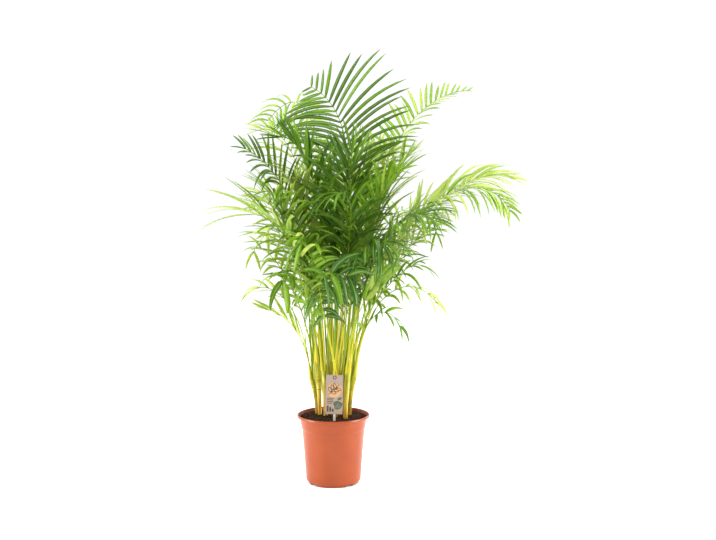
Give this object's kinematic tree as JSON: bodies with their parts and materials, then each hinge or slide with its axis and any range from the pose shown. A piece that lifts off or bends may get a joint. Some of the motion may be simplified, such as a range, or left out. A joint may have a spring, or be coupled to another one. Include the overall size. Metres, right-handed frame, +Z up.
{
  "type": "potted palm",
  "caption": "Clumping feather palm with arching fronds on slender canes, growing in a round plastic nursery pot with a staked care label.",
  "frame": {"origin": "centre of the pot's flat underside", "axes": "+Z up along the plant's height; -Y is the side that the care label faces; +X is to the right of a viewer on that side"},
  "size_m": [0.952, 0.7952, 1.2974],
  "materials": {
    "pot": "satin terracotta-coloured plastic",
    "soil": "loose damp peat mix",
    "cane": "smooth green-yellow stem",
    "frond": "soft sheen leaf",
    "label": "printed plastic card",
    "stake": "smooth plastic"
  },
  "bodies": {
    "root": {"cane_01": "cane", "cane_02": "cane", "cane_03": "cane", "cane_04": "cane", "cane_05": "cane", "cane_06": "cane", "cane_07": "cane", "cane_08": "cane", "cane_09": "cane", "cane_10": "cane", "cane_11": "cane", "cane_12": "cane", "cane_13": "cane", "cane_14": "cane", "cane_15": "cane", "cane_16": "cane", "care_label": "label", "frond_01": "frond", "frond_02": "frond", "frond_03": "frond", "frond_04": "frond", "frond_05": "frond", "frond_06": "frond", "frond_07": "frond", "frond_08": "frond", "frond_09": "frond", "frond_10": "frond", "frond_11": "frond", "frond_12": "frond", "frond_13": "frond", "frond_14": "frond", "frond_15": "frond", "frond_16": "frond", "frond_17": "frond", "frond_18": "frond", "frond_19": "frond", "frond_20": "frond", "frond_21": "frond", "frond_22": "frond", "frond_23": "frond", "frond_24": "frond", "frond_25": "frond", "frond_26": "frond", "frond_27": "frond", "frond_28": "frond", "frond_29": "frond", "frond_30": "frond", "frond_31": "frond", "frond_32": "frond", "frond_33": "frond", "frond_34": "frond", "frond_35": "frond", "frond_36": "frond", "frond_37": "frond", "label_stake": "stake", "nursery_pot": "pot", "potting_soil": "soil"}
  },
  "joints": []
}
